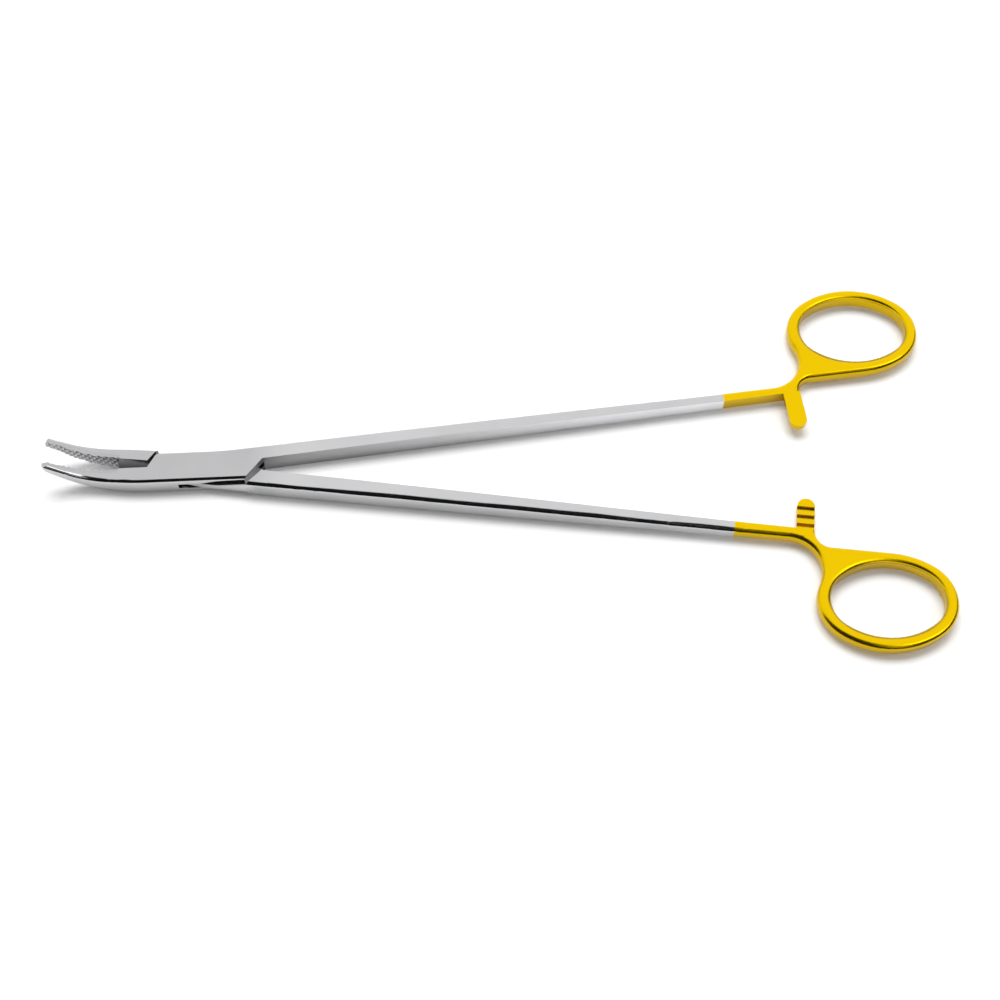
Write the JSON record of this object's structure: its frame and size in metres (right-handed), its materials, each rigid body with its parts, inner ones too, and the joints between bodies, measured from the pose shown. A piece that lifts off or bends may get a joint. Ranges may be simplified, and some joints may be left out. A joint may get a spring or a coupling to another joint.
{
  "type": "surgical needle holder",
  "caption": "Scissor-shaped gripping tool with a box lock, curved cross-serrated jaws, a ratchet and gold-finished finger rings.",
  "frame": {"origin": "on the hinge axis at the underside of the box lock", "axes": "+X from the hinge towards the finger rings, +Z along the hinge axis towards the side that the jaws curve to"},
  "size_m": [0.2458, 0.114, 0.0116],
  "materials": {
    "satin_steel": "satin",
    "pin_steel": "satin",
    "carbide": "matt"
  },
  "bodies": {
    "female_side": {"female_half": "satin_steel", "pivot_pin": "pin_steel", "female_jaw_insert": "carbide"},
    "male_side": {"male_half": "satin_steel", "male_jaw_insert": "carbide"}
  },
  "joints": [
    {"name": "box_lock_hinge", "type": "hinge", "parent": "female_side", "child": "male_side", "pos_m": [0, 0, 0], "axis": [0, 0, 1], "range_deg": [-45, 7.7]}
  ]
}
